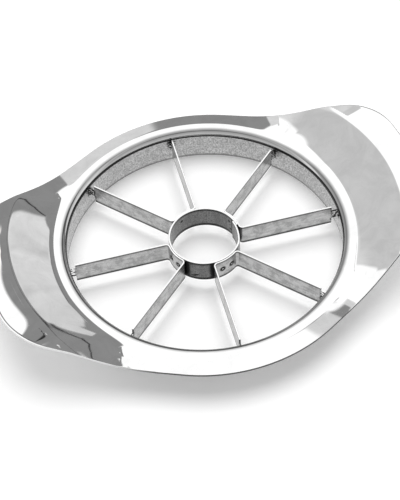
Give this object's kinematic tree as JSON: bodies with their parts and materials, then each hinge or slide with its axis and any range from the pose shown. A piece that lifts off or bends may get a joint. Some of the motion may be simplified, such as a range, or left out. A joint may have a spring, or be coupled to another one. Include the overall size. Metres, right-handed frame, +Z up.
{
  "type": "apple slicer wedger press",
  "caption": "Pressed steel frame with two rising wing grips and a round cutting well: a hub ring and radial blades push an apple into wedges.",
  "frame": {"origin": "middle of the foot: on the hub's axis, in the plane of the blade band's lower edge, where the press stands", "axes": "+X along the two wings, +Z up along the hub's axis, +Y across the wings"},
  "size_m": [0.1492, 0.1116, 0.0228],
  "materials": {
    "polished_steel": "mirror-polished stainless sheet",
    "satin_steel": "satin, finely speckled stainless strip",
    "hub_steel": "satin stainless strip",
    "blade_steel": "ground stainless strip with a bright sharpened edge",
    "weld_steel": "heat-darkened spot welds"
  },
  "bodies": {
    "root": {"frame_plate": "polished_steel", "blade_band": "satin_steel", "hub_ring": "hub_steel", "blade_strip_1": "blade_steel", "blade_strip_2": "blade_steel", "blade_strip_3": "blade_steel", "blade_strip_4": "blade_steel", "hub_spot_welds": "weld_steel", "rim_spot_welds": "weld_steel"}
  },
  "joints": []
}
